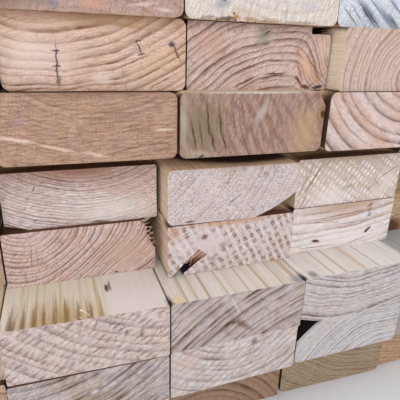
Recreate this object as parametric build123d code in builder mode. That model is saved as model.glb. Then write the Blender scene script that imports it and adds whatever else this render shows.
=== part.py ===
from build123d import *

import os
from collections import namedtuple
from math import cos, hypot, radians, sin, sqrt

# Bundle of planed pine studs: eight layers of five studs lie on their wide faces. Laths part the
# upper three layers from the lower five, and two straps hold them all. X runs across the bundle,
# Y along the studs and Z up. The near ends face -Y. The origin is the middle of the bundle's
# footprint, at the level of the floor. All sizes are in millimetres.

# One stud
stud_width = 90.0
stud_thickness = 35.5  # 35 mm stock, a little swollen with damp
stud_length = 2400.0
rounded_edge = 4.0  # long edges eased by the planer
square_edge = 1.2  # long edges nearly left as sawn
planing_tolerance = 0.45  # the thinnest stud is thinner than the others by this

# Laths that keep two bundles apart in one pile
lath_width = 45.0
lath_thickness = 10.0
lath_inset = 6.0  # how far a lath's ends stay inside the layer under it
lath_chamfer = 0.8
lath_clearance = 0.2
layers_under_laths = 5

# Straps and their seals
strap_width = 19.0
strap_thickness = 1.0
strap_from_end = 520.0  # from the bundle's end to a strap's centre line
strap_tail = 38.0  # how far a strap's free end stands out of its seal
strap_clearance = 0.2  # between a strap and the studs or its seal
seal_length = 32.0
seal_thickness = 0.9
seal_bend = 0.6  # inside radius of the folded steel
seal_lip = 6.0  # how far the steel folds back under the strap
seal_off_middle = 95.0
crimp_width = 4.0
crimp_depth = 0.5
crimp_pitch = 14.0

# Splits and torn wood at the near ends
chip_width = 14.0
chip_height = 3.8
chip_length = 70.0
chip_ramp = 18.0
split_depth = 16.0
tear_length = 48.0

# Each layer, lowest first. shift is how far its left stud stands to the right of the lowest
# layer's, gaps are the spaces between neighbours, edges says which studs have rounded (r) or
# square (s) long edges, and stand_out is how far each near end stands out, from left to right.
Layer = namedtuple("Layer", "shift gaps edges stand_out")
layers = [
    Layer(0.0, (2.0, 2.0, 2.9, 2.0), "rssrr", (12, 14, 14, 15.5, 12)),
    Layer(5.3, (1.0, 1.2, 1.9, 1.0), "sssrs", (21, 26, 25, 22, 19)),
    Layer(5.7, (1.0, 1.1, 1.0, 1.0), "sssss", (17, 26, 25, 24, 20)),
    Layer(6.3, (2.0, 4.9, 1.7, 2.0), "sssss", (-24, -18, -3.5, -8.5, -23)),
    Layer(8.7, (2.0, 2.8, 2.1, 2.0), "rsrss", (-15, -22, -3, -9.5, -18)),
    Layer(14.9, (1.0, 0.9, 1.3, 1.0), "rrrrr", (5, 6.5, 9, 12, 9)),
    Layer(21.1, (1.0, 1.1, 1.1, 1.0), "rrssr", (4, 0, -1, 10, 2)),
    Layer(17.9, (1.0, 1.1, 1.1, 1.0), "rrrrr", (6, 6, 5, 4, 3)),
]
places = len(layers[0].stand_out)

# Degrees by which some near ends are cut askew, by layer and place. The right side stands out more
# where the number is positive.
skews = {
    (1, 4): 1.8,
    (2, 2): 1.0,
    (2, 3): -0.9,
    (3, 2): 1.8,
    (4, 3): -0.9,
    (4, 4): -1.0,
    (5, 3): 1.0,
    (5, 4): -1.1,
    (6, 2): 1.0,
    (7, 3): -1.1,
}

# Wane is the log's own round surface, left where a stud was sawn too near the bark. across and up
# are how far it reaches along the stud's wide and narrow face at the near end, and log_radius is
# the log's radius there. The log grows away from the near end, so the wane runs out.
Wane = namedtuple("Wane", "side level across up log_radius")
log_growth = 0.012  # radius gained for each millimetre of length
wanes = {
    (2, 4): Wane("left", "top", 18.5, 16.5, 110.0),
    (3, 4): Wane("left", "bottom", 14.0, 4.0, 300.0),
    (5, 2): Wane("left", "bottom", 13.0, 4.0, 300.0),
    (5, 3): Wane("right", "bottom", 31.0, 17.0, 102.0),
    (6, 3): Wane("right", "top", 6.0, 8.0, 120.0),
}

layer_left = [layer.shift for layer in layers]
layer_right = [layer.shift + places * stud_width + sum(layer.gaps) for layer in layers]
bundle_middle = (min(layer_left) + max(layer_right)) / 2
stand_outs = [stand_out for layer in layers for stand_out in layer.stand_out]
mean_stand_out = (min(stand_outs) + max(stand_outs)) / 2
bundle_bottom = strap_thickness + strap_clearance
seal_room = seal_thickness + strap_clearance  # the strap is lifted by this over the seal's fold
strap_off_middle = stud_length / 2 - strap_from_end


def left_edge(layer, place):
    """X of a stud's left side. Layers and places are counted from 1."""
    row = layers[layer - 1]
    gaps = sum(row.gaps[: place - 1])
    return row.shift + (place - 1) * stud_width + gaps - bundle_middle


def underside(layer):
    """Z of the face that a layer lies on."""
    laths = lath_thickness + 2 * lath_clearance if layer > layers_under_laths else 0
    return bundle_bottom + (layer - 1) * stud_thickness + laths


bundle_top = underside(len(layers)) + stud_thickness


def thickness_of(layer, place):
    """A planed stud is up to the tolerance thinner than the nominal size."""
    return stud_thickness - planing_tolerance * ((3 * layer + 2 * place) % 4) / 3


def edge_radius_of(layer, place):
    rounded = layers[layer - 1].edges[place - 1] == "r"
    return min(rounded_edge if rounded else square_edge, 0.45 * stud_thickness)


def near_end(layer, place):
    """The plane of a stud's near end, with its origin at the section's lower left corner."""
    stand_out = layers[layer - 1].stand_out[place - 1] - mean_stand_out
    return Plane(
        origin=(left_edge(layer, place), -stud_length / 2 - stand_out, underside(layer)),
        x_dir=(1, 0, 0),
        z_dir=(0, -1, 0),
    )


def skew_cut(layer, place):
    """The plane of an askew near end, turned about the side that stands out most."""
    skew = radians(skews[(layer, place)])
    corner = Vector(stud_width if skew > 0 else 0, 0, 0)
    return Plane(
        origin=near_end(layer, place).origin + corner,
        x_dir=(cos(skew), -sin(skew), 0),
        z_dir=(-sin(skew), -cos(skew), 0),
    )


def waned_log(layer, place):
    """The log that a waned stud was sawn from, as a cone along the stud."""
    wane = wanes[(layer, place)]
    chord = hypot(wane.across, wane.up)
    reach = sqrt(wane.log_radius**2 - (chord / 2) ** 2)
    inward_x = 1 if wane.side == "left" else -1
    inward_z = 1 if wane.level == "bottom" else -1
    corner_x = 0 if wane.side == "left" else stud_width
    corner_z = 0 if wane.level == "bottom" else thickness_of(layer, place)
    pith_x = corner_x + inward_x * (wane.across / 2 + reach * wane.up / chord)
    pith_z = corner_z + inward_z * (wane.up / 2 + reach * wane.across / chord)
    with BuildPart() as log:
        with Locations(near_end(layer, place).origin + Vector(pith_x, stud_length / 2, pith_z)):
            Cone(
                bottom_radius=wane.log_radius,
                top_radius=wane.log_radius + log_growth * stud_length,
                height=stud_length,
                rotation=(-90, 0, 0),
            )
    return log.part


def chip_out(layer, place):
    """A strip torn from the top right edge, which ends in a ramp."""
    corner = Vector(stud_width, 0, thickness_of(layer, place))
    side = Plane(
        origin=near_end(layer, place).origin + corner, x_dir=(0, 1, 0), z_dir=(1, 0, 0)
    )
    with BuildPart() as chip:
        with BuildSketch(side):
            with BuildLine():
                Polyline(
                    (-1, 1),
                    (-1, -chip_height),
                    (chip_length - chip_ramp, -chip_height),
                    (chip_length, 1),
                    close=True,
                )
            make_face()
        extrude(amount=-chip_width)
    return chip.part


def split_out(layer, place):
    """A splinter missing between two splits that rise from the lower left edge."""
    with BuildPart() as splinter:
        with BuildSketch(near_end(layer, place)):
            with BuildLine():
                Polyline(
                    (1.5, -1),
                    (10, -1),
                    (11, 1.8),
                    (26.5, 12.8),
                    (24.3, 14.4),
                    (20.6, 17.5),
                    close=True,
                )
            make_face()
        extrude(amount=-split_depth)
    return splinter.part


def torn_edge(layer, place):
    """Wood torn away down the upper part of the right side."""
    top = thickness_of(layer, place)
    with BuildPart() as torn:
        with BuildSketch(near_end(layer, place)):
            with BuildLine():
                Polyline(
                    (stud_width - 10.0, top + 1),
                    (stud_width - 5.5, top - 4.5),
                    (stud_width - 5.0, top - 9.5),
                    (stud_width - 2.6, top - 16),
                    (stud_width + 1, top - 22),
                    (stud_width + 1, top + 1),
                    close=True,
                )
            make_face()
        extrude(amount=-tear_length)
    return torn.part


damage = {(7, 3): chip_out, (4, 3): split_out, (4, 2): torn_edge}


def make_stud(layer, place):
    thickness = thickness_of(layer, place)
    with BuildPart() as stud:
        with BuildSketch(near_end(layer, place)):
            with Locations((stud_width / 2, thickness / 2)):
                RectangleRounded(stud_width, thickness, edge_radius_of(layer, place))
        extrude(amount=-stud_length)
        if (layer, place) in skews:
            split(bisect_by=skew_cut(layer, place), keep=Keep.BOTTOM)
        if (layer, place) in wanes:
            add(waned_log(layer, place), mode=Mode.INTERSECT)
        if (layer, place) in damage:
            add(damage[(layer, place)](layer, place), mode=Mode.SUBTRACT)
    stud.part.label = f"stud_{layer}_{place}"
    return stud.part


def make_lath(number, y):
    """A lath across the bundle, between the two groups of layers."""
    left = left_edge(layers_under_laths, 1) + lath_inset
    right = left_edge(layers_under_laths, places) + stud_width - lath_inset
    bottom = underside(layers_under_laths) + stud_thickness + lath_clearance
    with BuildPart() as lath:
        with Locations(((left + right) / 2, y, bottom + lath_thickness / 2)):
            Box(right - left, lath_width, lath_thickness)
        chamfer(lath.edges().filter_by(Axis.X), lath_chamfer)
    lath.part.label = f"lath_{number}"
    return lath.part


def make_strap(number, y):
    """A strap pulled tight round the studs, with its free end lying on top."""
    with BuildPart() as strap:
        with BuildSketch(Plane.XZ.offset(-y)):
            for layer in range(1, len(layers) + 1):
                for place in (1, places):
                    x = left_edge(layer, place) + stud_width / 2
                    z = underside(layer) + stud_thickness / 2
                    with Locations((x, z)):
                        Rectangle(stud_width, stud_thickness)
            with Locations((seal_off_middle, bundle_top + seal_room / 2)):
                Rectangle(seal_length, seal_room)
            make_hull()
            offset(amount=-rounded_edge)
            inside = offset(amount=rounded_edge + strap_clearance)
            offset(amount=strap_thickness)
            add(inside, mode=Mode.SUBTRACT)
            tail_middle = seal_off_middle - strap_tail / 2
            tail_bottom = bundle_top + seal_room + strap_clearance + strap_thickness
            with Locations((tail_middle, tail_bottom + strap_thickness / 2)):
                Rectangle(seal_length + strap_tail, strap_thickness)
        extrude(amount=strap_width / 2, both=True)
    strap.part.label = f"strap_{number}"
    return strap.part


def make_seal(number, y):
    """A steel sleeve folded and crimped round the strap's two ends."""
    inside_width = strap_width + 2 * strap_clearance
    inside_height = 2 * (strap_thickness + strap_clearance)
    outside_width = inside_width + 2 * seal_thickness
    outside_height = inside_height + 2 * seal_thickness
    bottom = bundle_top + strap_clearance
    middle = bottom + outside_height / 2
    with BuildPart() as seal:
        with BuildSketch(Plane.YZ.offset(seal_off_middle)):
            with Locations((y, middle)):
                RectangleRounded(outside_width, outside_height, seal_bend + seal_thickness)
                RectangleRounded(inside_width, inside_height, seal_bend, mode=Mode.SUBTRACT)
            with Locations((y, bottom)):
                Rectangle(inside_width - 2 * seal_lip, 2.5 * seal_thickness, mode=Mode.SUBTRACT)
        extrude(amount=seal_length / 2, both=True)
        crimp_off_middle = outside_width / 2 - crimp_depth / 2
        for side in (-1, 1):
            with Locations((seal_off_middle, y + side * crimp_off_middle, middle)):
                with GridLocations(crimp_pitch, 0, 2, 1):
                    Box(crimp_width, crimp_depth, outside_height, mode=Mode.SUBTRACT)
    seal.part.label = f"seal_{number}"
    return seal.part


os.makedirs("parts", exist_ok=True)
for layer in range(1, len(layers) + 1):
    for place in range(1, places + 1):
        stud = make_stud(layer, place)
        export_step(stud, f"parts/{stud.label}.step")

for number, y in enumerate((-strap_off_middle, 0, strap_off_middle), start=1):
    lath = make_lath(number, y)
    export_step(lath, f"parts/{lath.label}.step")

for number, y in enumerate((-strap_off_middle, strap_off_middle), start=1):
    strap = make_strap(number, y)
    export_step(strap, f"parts/{strap.label}.step")
    seal = make_seal(number, y)
    export_step(seal, f"parts/{seal.label}.step")
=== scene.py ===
# %% [markdown]
# # A bundle of pine studs
# The bundle is eight layers of five planed pine studs, seen from close by at their sawn ends. The
# CAD model gives every stud, lath, strap and seal its shape and place. This lesson loads it, sets
# up the camera and a plain studio, and then gives each stud its own growth rings, saw marks,
# stains and knots, because no two sawn ends look alike.

from collections import namedtuple
from math import radians

import bpy
from mathutils import Matrix, Vector


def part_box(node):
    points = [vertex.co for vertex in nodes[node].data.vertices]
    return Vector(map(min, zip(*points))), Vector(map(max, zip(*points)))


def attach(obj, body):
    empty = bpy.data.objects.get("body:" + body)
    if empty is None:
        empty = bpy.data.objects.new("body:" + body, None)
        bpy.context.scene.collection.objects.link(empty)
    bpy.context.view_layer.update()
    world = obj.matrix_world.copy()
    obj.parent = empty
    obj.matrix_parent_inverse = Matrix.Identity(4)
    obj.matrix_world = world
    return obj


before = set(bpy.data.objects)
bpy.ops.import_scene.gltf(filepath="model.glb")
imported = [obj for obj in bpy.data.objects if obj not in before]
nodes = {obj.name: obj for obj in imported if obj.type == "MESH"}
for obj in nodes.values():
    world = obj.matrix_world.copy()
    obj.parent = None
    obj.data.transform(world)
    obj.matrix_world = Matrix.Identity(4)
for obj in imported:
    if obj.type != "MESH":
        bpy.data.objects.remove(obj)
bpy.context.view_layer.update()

# %% [markdown]
# ## The camera
# The photograph was taken about 20 cm from the ends, turned to the right and tilted down. The
# numbers come from fitting a camera to the corners of the ends. The matrix is built from three
# plain turns, first the roll of the camera, then its tilt, then its heading.

# %% Camera
mm = 0.001
camera_place = Vector((-101.45, -1412.8, 244.6)) * mm
heading, tilt, roll = radians(-19.62), radians(90 - 20.35), radians(1.61)

camera_data = bpy.data.cameras.new("camera")
camera_data.lens = 36
camera_data.sensor_width = 36
camera_data.clip_start = 0.01
camera = bpy.data.objects.new("camera", camera_data)
bpy.context.scene.collection.objects.link(camera)
camera.matrix_world = (
    Matrix.Translation(camera_place)
    @ Matrix.Rotation(heading, 4, "Z")
    @ Matrix.Rotation(tilt, 4, "X")
    @ Matrix.Rotation(roll, 4, "Z")
)
bpy.context.scene.camera = camera
print("camera at", [round(c, 3) for c in camera_place])

# %% [markdown]
# ## Colours and nodes
# Colours are written as the hex values that a painter's chart or a picture shows. Blender works in
# linear light, so one function turns them. Another adds a node with its settings and its links,
# which keeps the node trees below short enough to read. Patterns are drawn in millimetres, because
# rings, saw marks and grit are known in millimetres.


# %% Colours
def linear(hex_colour):
    """An sRGB hex colour as linear red, green, blue and alpha."""
    parts = [int(hex_colour[i : i + 2], 16) / 255 for i in (0, 2, 4)]
    light = [c / 12.92 if c <= 0.04045 else ((c + 0.055) / 1.055) ** 2.4 for c in parts]
    return (*light, 1.0)


print("a mid grey of 808080 is", round(linear("808080")[0], 3), "in linear light")


# %% Nodes and materials
def add_node(tree, kind, inputs=None, **settings):
    """Adds a node. Each input gets a value, or a link from a node or from one of its outputs."""
    node = tree.nodes.new(kind)
    for name, value in settings.items():
        setattr(node, name, value)
    for key, value in (inputs or {}).items():
        if isinstance(key, str):
            socket = next(s for s in node.inputs if s.enabled and s.name == key)
        else:
            socket = node.inputs[key]
        if isinstance(value, bpy.types.Node):
            value = next(s for s in value.outputs if s.enabled)
        if isinstance(value, bpy.types.NodeSocket):
            tree.links.new(value, socket)
        else:
            socket.default_value = value
    return node


def new_material(name):
    """A material with an empty node tree."""
    material = bpy.data.materials.new(name)
    material.use_nodes = True
    material.node_tree.nodes.clear()
    return material, material.node_tree


def tinted(tree, colour, tint, share):
    """The colour, mixed with a tint by a pattern's share."""
    return add_node(
        tree,
        "ShaderNodeMix",
        {"Factor": share, "A": colour, "B": linear(tint)},
        data_type="RGBA",
    )


def in_millimetres(tree):
    """A piece's own coordinates in millimetres."""
    place = add_node(tree, "ShaderNodeTexCoord")
    return add_node(
        tree,
        "ShaderNodeMapping",
        {"Vector": place.outputs["Object"], "Scale": (1000, 1000, 1000)},
    )


def dress(names, material):
    """Gives CAD nodes a material of their own."""
    for name in names:
        nodes[name].data.materials.clear()
        nodes[name].data.materials.append(material)


print(len(nodes), "nodes to dress")

# %% [markdown]
# ## Floor and light
# A plain pale floor stands in for the ground of a yard. The light is an overcast sky: soft, from
# above and a little from the front. Three broad area lamps do most of it, and the world fills the
# rest. The camera and mirrors see the world as white, and the floor fades into that white.

# %% Floor
bpy.ops.object.select_all(action="DESELECT")
bpy.ops.mesh.primitive_plane_add(size=16)
floor = bpy.context.object
floor.name = "floor"
material, tree = new_material("pale_floor")
place = add_node(tree, "ShaderNodeTexCoord")
cloud = add_node(tree, "ShaderNodeTexNoise", {"Vector": place.outputs["Object"], "Scale": 9.0})
tone = tinted(tree, linear("D9D9DB"), "E2E2E4", cloud)
matt = add_node(tree, "ShaderNodeBsdfPrincipled", {"Base Color": tone, "Roughness": 0.8})
# Far from the bundle the floor fades into the white background, so that no horizon shows.
fade_from, fade_to = 2.2, 6.5
reach = add_node(
    tree, "ShaderNodeVectorMath", {0: place.outputs["Object"]}, operation="LENGTH"
)
far = add_node(
    tree,
    "ShaderNodeMapRange",
    {"Value": reach.outputs["Value"], "From Min": fade_from, "From Max": fade_to},
    interpolation_type="SMOOTHSTEP",
)
path = add_node(tree, "ShaderNodeLightPath")
seen = add_node(
    tree,
    "ShaderNodeMath",
    {0: path.outputs["Is Camera Ray"], 1: path.outputs["Is Glossy Ray"]},
    operation="MAXIMUM",
)
far = add_node(tree, "ShaderNodeMath", {0: far, 1: seen}, operation="MULTIPLY")
glow = add_node(tree, "ShaderNodeEmission", {"Color": (1, 1, 1, 1), "Strength": 1.0})
ground = add_node(tree, "ShaderNodeMixShader", {0: far, 1: matt, 2: glow})
add_node(tree, "ShaderNodeOutputMaterial", {"Surface": ground})
floor.data.materials.append(material)
print("floor of", [round(d, 1) for d in floor.dimensions], "m")


# %% Lamps
def area_lamp(name, place, target, size, power):
    """A square lamp that faces a point."""
    data = bpy.data.lights.new(name, "AREA")
    data.shape = "SQUARE"
    data.size = size
    data.energy = power
    lamp = bpy.data.objects.new(name, data)
    bpy.context.scene.collection.objects.link(lamp)
    lamp.location = place
    lamp.rotation_euler = (Vector(target) - Vector(place)).to_track_quat("-Z", "Y").to_euler()
    return lamp


near_ends = (0, -1.2, 0.15)
area_lamp("sky_front", (-0.7, -3.9, 1.7), near_ends, 2.4, 62)
area_lamp("sky_above", (0.6, -0.4, 3.6), (0, -0.4, 0.2), 3.2, 56)
area_lamp("sky_behind", (1.4, 3.4, 2.4), (0, 0.8, 0.1), 2.4, 35)
print("three lamps, the front one aimed at", near_ends)

# %% World
world = bpy.data.worlds.new("studio")
bpy.context.scene.world = world
world.use_nodes = True
tree = world.node_tree
tree.nodes.clear()
path = add_node(tree, "ShaderNodeLightPath")
seen = add_node(
    tree,
    "ShaderNodeMath",
    {0: path.outputs["Is Camera Ray"], 1: path.outputs["Is Glossy Ray"]},
    operation="MAXIMUM",
)
seen = add_node(
    tree, "ShaderNodeMath", {0: seen, 1: path.outputs["Is Transmission Ray"]}, operation="MAXIMUM"
)
fill = add_node(tree, "ShaderNodeBackground", {"Color": linear("F4F7FF"), "Strength": 0.52})
white = add_node(tree, "ShaderNodeBackground", {"Color": (1, 1, 1, 1), "Strength": 1.0})
sky = add_node(tree, "ShaderNodeMixShader", {0: seen, 1: fill, 2: white})
add_node(tree, "ShaderNodeOutputWorld", {"Surface": sky})
bpy.context.scene.view_settings.view_transform = "Standard"
print("the sky fills with", fill.inputs["Strength"].default_value)

# %% [markdown]
# ## Pine
# A tree grows a ring a year: a pale, soft band in spring and a thin, dark, hard band in summer.
# Sawn across, a stud shows these as arcs about the pith, which often lies outside the section.
# Sawn along, the same rings show as stripes. So one solid pattern serves both: the distance to
# the pith line, in ring widths. The end of a stud is duller and rougher than its planed faces, and
# carries the marks of the saw, so the shader mixes two finishes by the way a face points.
#
# All patterns are worked out in millimetres from the near end's lower left corner: u to the right,
# v up and w along the stud.

# %% What one stud looks like
Mark = namedtuple("Mark", "at size turn colour strength soft")
Saw = namedtuple("Saw", "turn pitch colour strength width cross")
Look = namedtuple(
    "Look",
    "pith spacing early late lines patchy wobble tint tint_share grain streaks saws bends"
    " end_marks rays face_early face_late face_lines face_marks top_dirt side_dirt",
)
plain = Look(
    pith=(45, 90),
    spacing=3.2,
    early="BFA28A",
    late="94704F",
    lines=0.8,
    patchy=0.5,
    wobble=1.4,
    tint="B0907A",
    tint_share=0.35,
    grain=0.3,
    streaks=(70, 0.18),
    saws=(),
    bends=(),
    end_marks=(),
    rays=0.3,
    face_early="E4CDAD",
    face_late="C0955F",
    face_lines=0.6,
    face_marks=(),
    # How strongly shade is painted into the joints above and beside the end.
    top_dirt=0.95,
    side_dirt=0.95,
)


def end_mark(u, v, half_length, half_width, turn, colour, strength=0.8, soft=0.6):
    """A stain, check, knot, painted shade or painted highlight on a sawn end. It goes only a little
    way into the wood.
    """
    return Mark((u, v, 0), (half_length, half_width, 30), turn, colour, strength, soft)


def top_stripe(u, half_width, colour, strength=0.5, soft=0.8, length=4000):
    """A stripe along the wide upper face."""
    return Mark((u, 35, 0), (half_width, 9, length), 0, colour, strength, soft)


def saw(turn, pitch, colour, strength, width=0.5, cross=None):
    """Lines left by the saw's teeth, turn degrees from level and a pitch apart."""
    return Saw(turn, pitch, colour, strength, width, cross)


print("a plain stud's rings are", plain.spacing, "mm wide")

# %% [markdown]
# ## Marks and lines
# A stain or a check is an ellipsoid in the wood, with a soft edge. Saw lines are a wave texture
# turned to the saw's direction, and a second set that crosses them breaks them into dashes. A
# ragged edge comes from shaking the coordinates with a cloud before the pattern is drawn.


# %% Marks
def pattern_of_mark(tree, where, mark):
    """1 inside an ellipsoid and 0 outside it, times the mark's strength."""
    inside = add_node(
        tree,
        "ShaderNodeMapping",
        {
            "Vector": where,
            "Location": mark.at,
            "Rotation": (0, 0, radians(mark.turn)),
            "Scale": mark.size,
        },
        vector_type="TEXTURE",
    )
    reach = add_node(tree, "ShaderNodeVectorMath", {0: inside}, operation="LENGTH")
    return add_node(
        tree,
        "ShaderNodeMapRange",
        {
            "Value": reach.outputs["Value"],
            "From Min": 1.0,
            "From Max": 1.0 - mark.soft,
            "To Min": 0.0,
            "To Max": mark.strength,
        },
        interpolation_type="SMOOTHSTEP",
    )


def marked(tree, colour, where, mark):
    """The colour, with a mark on it."""
    return tinted(tree, colour, mark.colour, pattern_of_mark(tree, where, mark))


def shaken(tree, where, cloud, amounts):
    """The coordinates, moved up to an amount in millimetres each way by a cloud's colours."""
    centred = add_node(
        tree,
        "ShaderNodeVectorMath",
        {0: cloud.outputs["Color"], 1: (0.5, 0.5, 0.5)},
        operation="SUBTRACT",
    )
    return add_node(
        tree,
        "ShaderNodeVectorMath",
        {0: centred, 1: [2 * amount for amount in amounts], 2: where},
        operation="MULTIPLY_ADD",
    )


print("a mark on an end reaches", end_mark(0, 0, 4, 3, 0, "4E2F1C").size[2], "mm into the wood")


# %% Saw lines
wave_period = 0.314  # of a wave texture at scale 1


def pattern_of_waves(tree, where, turn, pitch, width, ragged=2.6):
    """Parallel lines, turn degrees from level. width is the share of the pitch that is dark."""
    turned = add_node(
        tree,
        "ShaderNodeMapping",
        {"Vector": where, "Rotation": (0, 0, radians(turn + 90))},
        vector_type="TEXTURE",
    )
    waves = add_node(
        tree,
        "ShaderNodeTexWave",
        {
            "Vector": turned,
            "Scale": wave_period / pitch,
            "Distortion": ragged,
            "Detail": 2.0,
            "Detail Scale": 1.6,
        },
    )
    return add_node(
        tree,
        "ShaderNodeMapRange",
        {"Value": waves.outputs["Fac"], "From Min": 1.0 - width, "From Max": 1.0 - 0.4 * width},
    )


def pattern_of_saw(tree, where, marks):
    """Saw lines, broken into dashes where they cross a second set, and fainter here and there."""
    lines = pattern_of_waves(tree, where, marks.turn, marks.pitch, marks.width)
    if marks.cross:
        others = pattern_of_waves(tree, where, *marks.cross)
        lines = add_node(tree, "ShaderNodeMath", {0: lines, 1: others}, operation="MULTIPLY")
    clouds = add_node(
        tree, "ShaderNodeTexNoise", {"Vector": where, "Scale": 0.11, "Roughness": 0.6}
    )
    here_and_there = add_node(
        tree,
        "ShaderNodeMapRange",
        {
            "Value": clouds,
            "From Min": 0.36,
            "From Max": 0.56,
            "To Min": 0.15 * marks.strength,
            "To Max": marks.strength,
        },
    )
    return add_node(
        tree, "ShaderNodeMath", {0: lines, 1: here_and_there}, operation="MULTIPLY"
    )


print("a wave texture's scale for lines 4 mm apart is", wave_period / 4)

# %% [markdown]
# ## Knots
# A knot is where a branch left the trunk. On a planed face it is a dark brown ellipse, and the
# rings part to flow round it. A Voronoi texture gives scattered points, and the distance to the
# nearest one, in millimetres, draws the knot and bends the rings near it.

# %% Knots
knot_room = (75.0, 60.0, 330.0)  # each block of this size in millimetres holds one knot
knot_squeeze = (75.0, 22.0, 250.0)  # smaller than the room, which draws a knot out lengthwise
knot_radius = 8.0
knot_push = 9.0  # how far a knot pushes the rings aside, in millimetres
full_push, no_push = 4.0, 34.0  # distances from a knot's middle
knot_colour, bark_colour = "8A5A34", "4E2F1C"


def knots_in(tree, mm_place, seed):
    """The distance to the nearest of the knots scattered in a stud."""
    moved = add_node(
        tree,
        "ShaderNodeMapping",
        {"Vector": mm_place, "Location": (seed * 1.7, seed * 2.3, seed * 171)},
    )
    cells = add_node(tree, "ShaderNodeVectorMath", {0: moved, 1: knot_room}, operation="DIVIDE")
    points = add_node(
        tree, "ShaderNodeTexVoronoi", {"Vector": cells, "Scale": 1.0, "Randomness": 0.9}
    )
    apart = add_node(
        tree,
        "ShaderNodeVectorMath",
        {0: cells, 1: points.outputs["Position"]},
        operation="SUBTRACT",
    )
    back = add_node(
        tree, "ShaderNodeVectorMath", {0: apart, 1: knot_squeeze}, operation="MULTIPLY"
    )
    return add_node(tree, "ShaderNodeVectorMath", {0: back}, operation="LENGTH").outputs["Value"]


print("about one knot in each", knot_room[2], "mm of a stud")

# %% [markdown]
# ## Growth rings
# The coordinates are first bent a little by a slow cloud, because no trunk is round. The distance
# to the pith is then counted in rings, and the fraction left over is the time of year. Some years
# have a longer or a darker summer than others, so a random value belongs to each.

# %% Distance to the pith
year_varies = 1.6  # how far rings stray from their even places, in ring widths


def rings_from_pith(tree, uvw, along, look, seed):
    """The place seen from the pith, in ring widths."""
    slow = add_node(tree, "ShaderNodeTexNoise", {"Vector": along, "Scale": 0.045})
    bent = shaken(tree, uvw, slow, (look.wobble, look.wobble, 0))
    return add_node(
        tree,
        "ShaderNodeMapping",
        {
            "Vector": bent,
            "Location": (*look.pith, 0),
            "Rotation": (radians(0.25 - 0.1 * (seed % 5)), radians(0.1 * (seed % 7) - 0.3), 0),
            "Scale": (look.spacing, look.spacing, 1e6),
        },
        vector_type="TEXTURE",
    )


def years_from_pith(tree, uvw, rings, knot_reach, look):
    """The count of years to a place, with the rings pushed aside by knots and bends."""
    near_knot = add_node(
        tree,
        "ShaderNodeMapRange",
        {
            "Value": knot_reach,
            "From Min": full_push,
            "From Max": no_push,
            "To Min": 1.0,
            "To Max": 0.0,
        },
        interpolation_type="SMOOTHERSTEP",
    )
    pushed = add_node(
        tree,
        "ShaderNodeMath",
        {0: near_knot, 1: knot_push / look.spacing, 2: rings},
        operation="MULTIPLY_ADD",
    )
    for bend in look.bends:
        push = pattern_of_mark(tree, uvw, bend)
        pushed = add_node(tree, "ShaderNodeMath", {0: pushed, 1: push}, operation="ADD")
    uneven = add_node(
        tree,
        "ShaderNodeTexNoise",
        {"W": pushed, "Scale": 0.43, "Detail": 1.0},
        noise_dimensions="1D",
    )
    return add_node(
        tree, "ShaderNodeMath", {0: uneven, 1: year_varies, 2: pushed}, operation="MULTIPLY_ADD"
    )


print("rings stray by up to", year_varies, "ring widths from their even places")

# %% Growth rings
Rings = namedtuple("Rings", "latewood luck rays knot_reach")
summer = ((0.07, 0.0), (0.42, 0.14), (0.7, 0.55), (0.9, 1.0))  # the time of year, and how dark
longest_summer, shortest_summer = 0.7, 2.0  # powers that the time of year is raised to
ray_spread = 55  # the larger, the finer the rays about the pith


def growth_rings(tree, uvw, along, look, seed):
    """The share of latewood at a place, each year's random value, fine rays and knots."""
    knot_reach = knots_in(tree, uvw, seed)
    from_pith = rings_from_pith(tree, uvw, along, look, seed)
    rings = add_node(tree, "ShaderNodeVectorMath", {0: from_pith}, operation="LENGTH")
    years = years_from_pith(tree, uvw, rings.outputs["Value"], knot_reach, look)
    year = add_node(tree, "ShaderNodeMath", {0: years}, operation="FRACT")
    count = add_node(tree, "ShaderNodeMath", {0: years}, operation="FLOOR")
    luck = add_node(tree, "ShaderNodeTexWhiteNoise", {"W": count}, noise_dimensions="1D")
    luck = luck.outputs["Value"]
    season = add_node(
        tree,
        "ShaderNodeMath",
        {0: luck, 1: shortest_summer - longest_summer, 2: longest_summer},
        operation="MULTIPLY_ADD",
    )
    season = add_node(tree, "ShaderNodeMath", {0: year, 1: season}, operation="POWER")
    latewood = add_node(tree, "ShaderNodeValToRGB", {"Fac": season})
    stops = latewood.color_ramp.elements
    stops[0].position, stops[0].color = 0.0, (0.2, 0.2, 0.2, 1)
    stops[1].position, stops[1].color = 1.0, (0.45, 0.45, 0.45, 1)
    for position, level in summer:
        stops.new(position).color = (level, level, level, 1)
    spokes = add_node(tree, "ShaderNodeVectorMath", {0: from_pith}, operation="NORMALIZE")
    outward = add_node(tree, "ShaderNodeCombineXYZ", {"Z": rings.outputs["Value"]})
    fan = add_node(
        tree,
        "ShaderNodeVectorMath",
        {0: spokes, 1: (ray_spread, ray_spread, 0), 2: outward},
        operation="MULTIPLY_ADD",
    )
    fine = add_node(
        tree, "ShaderNodeTexNoise", {"Vector": fan, "Scale": 0.7, "Detail": 3.0, "Roughness": 0.6}
    )
    rays = add_node(
        tree,
        "ShaderNodeMapRange",
        {"Value": fine, "From Min": 0.58, "From Max": 0.72, "To Max": look.rays},
    )
    return Rings(latewood, luck, rays, knot_reach)


print("summer wood is darkest at", summer[-1][0], "of a ring")

# %% [markdown]
# ## The sawn end
# A saw tears the fibres, so an end is matt and brown-pink, and darkens unevenly as it dries. The
# rings come first, then the colour of the drying wood, the lines of the saw, the rays, and last a
# speckle of open fibres and the streaks that the saw has dragged over them.


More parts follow.
